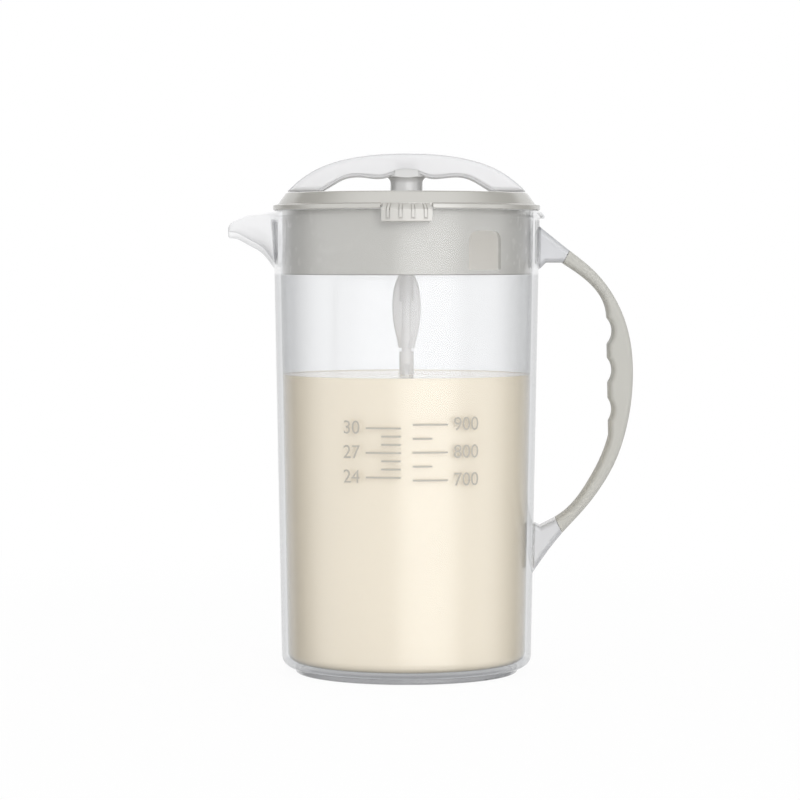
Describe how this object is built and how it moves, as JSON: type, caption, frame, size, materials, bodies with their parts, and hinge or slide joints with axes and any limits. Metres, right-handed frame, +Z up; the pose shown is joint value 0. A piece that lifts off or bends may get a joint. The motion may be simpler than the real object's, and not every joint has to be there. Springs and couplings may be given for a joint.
{
  "type": "baby formula pitcher",
  "caption": "Clear jug with an open beak spout, a soft side handle, a turning lid that stops or opens the spout, and a hand-turned mixing paddle.",
  "frame": {"origin": "centre of the foot ring, on the jug's axis at the plane it stands on", "axes": "+Z up along the jug's axis, -X towards the spout, +X towards the side handle, -Y towards the latch tab"},
  "size_m": [0.1754, 0.1221, 0.2252],
  "materials": {
    "clear_plastic": "gloss",
    "soft_grip": "matte",
    "formula": "satin",
    "silicone": "satin",
    "gray_plastic": "gloss",
    "frosted_plastic": "satin",
    "post_plastic": "gloss",
    "paddle_plastic": "satin"
  },
  "bodies": {
    "pitcher": {"pitcher_body": "clear_plastic", "handle_grip": "soft_grip", "formula_fill": "formula"},
    "lid_carrier": {"lid_seal": "silicone"},
    "lid": {"lid_cap": "gray_plastic", "stopper_collar": "gray_plastic", "post_seal": "silicone"},
    "latch": {"latch_tab": "gray_plastic"},
    "mixer": {"lid_handle": "frosted_plastic", "drive_post": "post_plastic", "mixing_paddle": "paddle_plastic"}
  },
  "joints": [
    {"name": "lid_lift", "type": "slide", "parent": "pitcher", "child": "lid_carrier", "axis": [0, 0, 1], "range_m": [0, 0.2]},
    {"name": "lid_twist", "type": "hinge", "parent": "lid_carrier", "child": "lid", "pos_m": [0, 0, 0.1949], "axis": [0, 0, 1], "range_deg": [0, 231.7]},
    {"name": "latch_flex", "type": "hinge", "parent": "lid", "child": "latch", "pos_m": [0, -0.0563, 0.203], "axis": [-1, 0, 0], "range_deg": [0, 10], "stiffness_Nm_per_rad": 0.2},
    {"name": "mixer_spin", "type": "hinge", "parent": "lid", "child": "mixer", "pos_m": [0, 0, 0.2], "axis": [0, 0, 1], "continuous": true}
  ]
}
